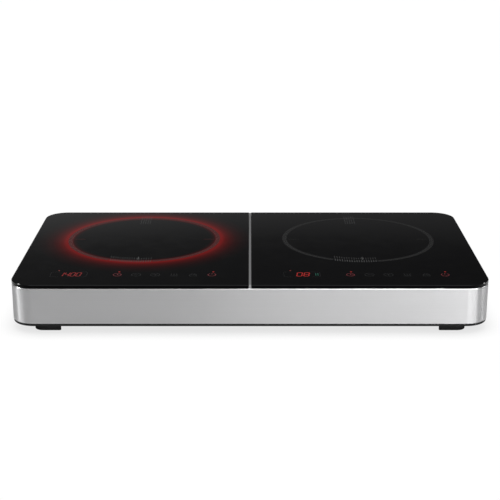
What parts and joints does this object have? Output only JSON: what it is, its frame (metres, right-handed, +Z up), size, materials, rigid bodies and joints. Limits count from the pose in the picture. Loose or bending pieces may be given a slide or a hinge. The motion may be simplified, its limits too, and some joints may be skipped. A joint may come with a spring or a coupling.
{
  "type": "electric induction cooktop",
  "caption": "Flat portable electric induction cooktop: black glass panes with round cooking zones and touch keys, in a satin metal band on small feet.",
  "frame": {"origin": "centre of the bounding box's footprint, on the surface that the feet stand on", "axes": "+Z up; +X to the right of a user who stands at the -Y side, where the touch keys are"},
  "size_m": [0.6, 0.332, 0.064],
  "materials": {
    "black_glass": "polished black glass-ceramic, opaque",
    "brushed_band": "satin stainless steel",
    "strip_metal": "satin grey aluminium",
    "black_plastic": "fine moulded texture",
    "foot_plastic": "matt black",
    "black_rubber": "matt",
    "white_plastic": "moulded nylon",
    "screw_steel": "zinc-plated",
    "silicone": "soft, matt",
    "light_guide": "translucent red acrylic",
    "mica": "pressed mica sheet",
    "copper": "enamelled copper litz",
    "carrier_plastic": "heat-resistant moulded plastic",
    "ferrite": "sintered ferrite, matt",
    "spring_steel": "bright spring steel",
    "circuit_board": "green solder mask",
    "aluminium": "extruded, natural",
    "component_black": "moulded epoxy",
    "component_grey": "plastic cases",
    "motor_steel": "painted steel can with a steel shaft"
  },
  "bodies": {
    "cooktop": {"bottom_housing": "black_plastic", "frame_band": "brushed_band", "inner_frame": "black_plastic", "foot_front_left": "foot_plastic", "foot_front_right": "foot_plastic", "foot_rear_right": "foot_plastic", "foot_rear_left": "foot_plastic", "foot_pads": "black_rubber", "divider_strip": "strip_metal", "cord_gland": "foot_plastic", "terminal_block": "white_plastic", "foot_screws": "screw_steel", "housing_screws": "screw_steel", "board_screws": "screw_steel", "fan_screws": "screw_steel", "coil_screws": "screw_steel", "left_glass_pane": "black_glass", "left_glass_seal": "silicone", "left_light_ring": "light_guide", "left_mica_sheet": "mica", "left_coil_winding": "copper", "left_coil_carrier": "carrier_plastic", "left_ferrite_bars": "ferrite", "left_temperature_sensor": "silicone", "left_coil_springs": "spring_steel", "left_power_board": "circuit_board", "left_heat_sink": "aluminium", "left_power_transistors": "component_black", "left_capacitors": "component_grey", "left_filter_choke": "ferrite", "left_fan_housing": "black_plastic", "left_fan_motor": "motor_steel", "left_control_board": "circuit_board", "left_control_bracket": "carrier_plastic", "left_display_module": "component_black", "left_touch_springs": "spring_steel", "right_glass_pane": "black_glass", "right_glass_seal": "silicone", "right_light_ring": "light_guide", "right_mica_sheet": "mica", "right_coil_winding": "copper", "right_coil_carrier": "carrier_plastic", "right_ferrite_bars": "ferrite", "right_temperature_sensor": "silicone", "right_coil_springs": "spring_steel", "right_power_board": "circuit_board", "right_heat_sink": "aluminium", "right_power_transistors": "component_black", "right_capacitors": "component_grey", "right_filter_choke": "ferrite", "right_fan_housing": "black_plastic", "right_fan_motor": "motor_steel", "right_control_board": "circuit_board", "right_control_bracket": "carrier_plastic", "right_display_module": "component_black", "right_touch_springs": "spring_steel"},
    "left_rotor": {"left_fan_rotor": "black_plastic"},
    "right_rotor": {"right_fan_rotor": "black_plastic"}
  },
  "joints": [
    {"name": "left_fan_spin", "type": "hinge", "parent": "cooktop", "child": "left_rotor", "pos_m": [-0.1664, -0.092, 0.024], "axis": [0, 0, 1], "continuous": true},
    {"name": "right_fan_spin", "type": "hinge", "parent": "cooktop", "child": "right_rotor", "pos_m": [0.1294, -0.092, 0.024], "axis": [0, 0, 1], "continuous": true}
  ]
}
